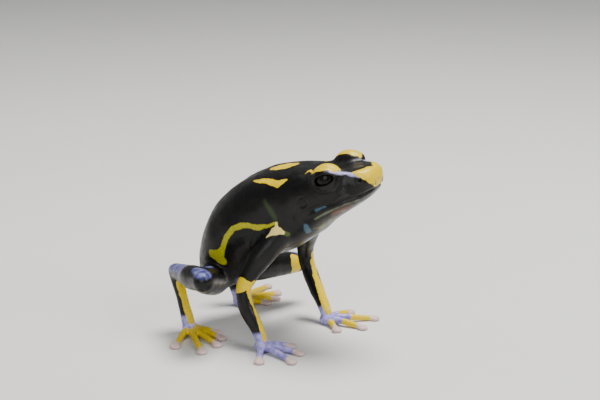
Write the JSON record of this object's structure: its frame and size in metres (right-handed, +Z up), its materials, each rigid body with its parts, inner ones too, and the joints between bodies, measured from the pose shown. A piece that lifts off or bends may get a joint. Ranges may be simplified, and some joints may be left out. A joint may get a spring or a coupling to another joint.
{
  "type": "dyeing poison dart frog",
  "caption": "Still life-size model of a dyeing poison dart frog, sitting high on straight arms with folded hind legs and raised head",
  "frame": {"origin": "middle of the bounding box, on the floor that the hands and feet rest on", "axes": "+X forwards to the snout, +Y to the frog's left, +Z up"},
  "size_m": [0.0406, 0.0418, 0.0343],
  "materials": {
    "skin": "moist glossy black skin with yellow and blue markings",
    "eye": "polished black"
  },
  "bodies": {
    "root": {"head": "skin", "torso": "skin", "eye_left": "eye", "eye_right": "eye", "upper_arm_left": "skin", "upper_arm_right": "skin", "forearm_left": "skin", "forearm_right": "skin", "hand_left": "skin", "hand_right": "skin", "thigh_left": "skin", "thigh_right": "skin", "shank_left": "skin", "shank_right": "skin", "tarsus_left": "skin", "tarsus_right": "skin", "foot_left": "skin", "foot_right": "skin"}
  },
  "joints": []
}
